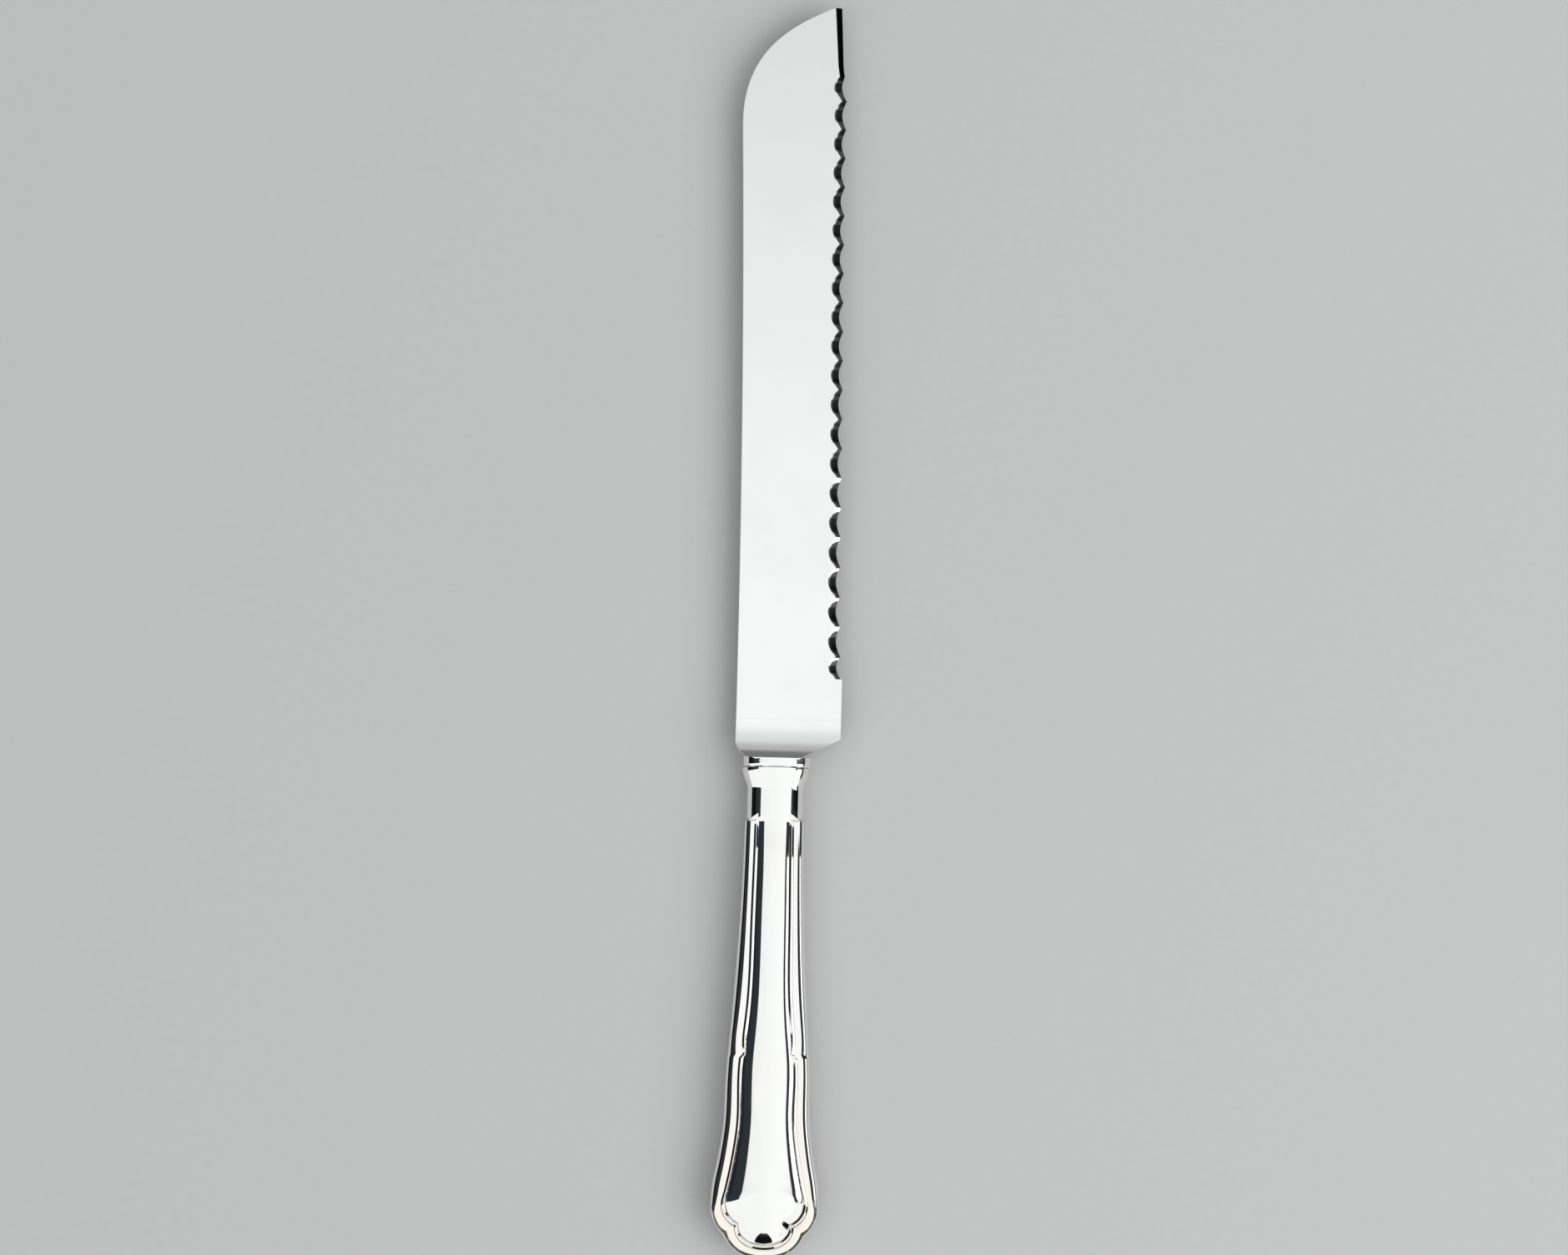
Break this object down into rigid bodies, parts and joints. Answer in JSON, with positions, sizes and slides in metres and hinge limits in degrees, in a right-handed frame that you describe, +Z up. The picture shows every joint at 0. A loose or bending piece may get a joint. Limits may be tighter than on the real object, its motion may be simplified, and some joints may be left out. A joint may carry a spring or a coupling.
{
  "type": "panettone knife",
  "caption": "Serving knife with a long scalloped blade and a hollow silver handle that has a threaded border and a lobed pommel.",
  "frame": {"origin": "middle of the bounding box's underside, with the knife lying flat on its back half", "axes": "+Y from the pommel to the blade's point, +X towards the cutting edge's side, +Z up through the handle's seam"},
  "size_m": [0.0304, 0.3204, 0.0142],
  "materials": {
    "stainless_steel": "polished stainless steel with fine handling scratches",
    "silver": "bright polished silver, slightly warm, with fine handling scratches",
    "solder": "dull grey solder, hidden inside",
    "cement": "matt cutler's cement, hidden inside"
  },
  "bodies": {
    "root": {"blade": "stainless_steel", "handle_front_shell": "silver", "handle_back_shell": "silver", "seam_solder": "solder", "cement_filling": "cement"}
  },
  "joints": []
}
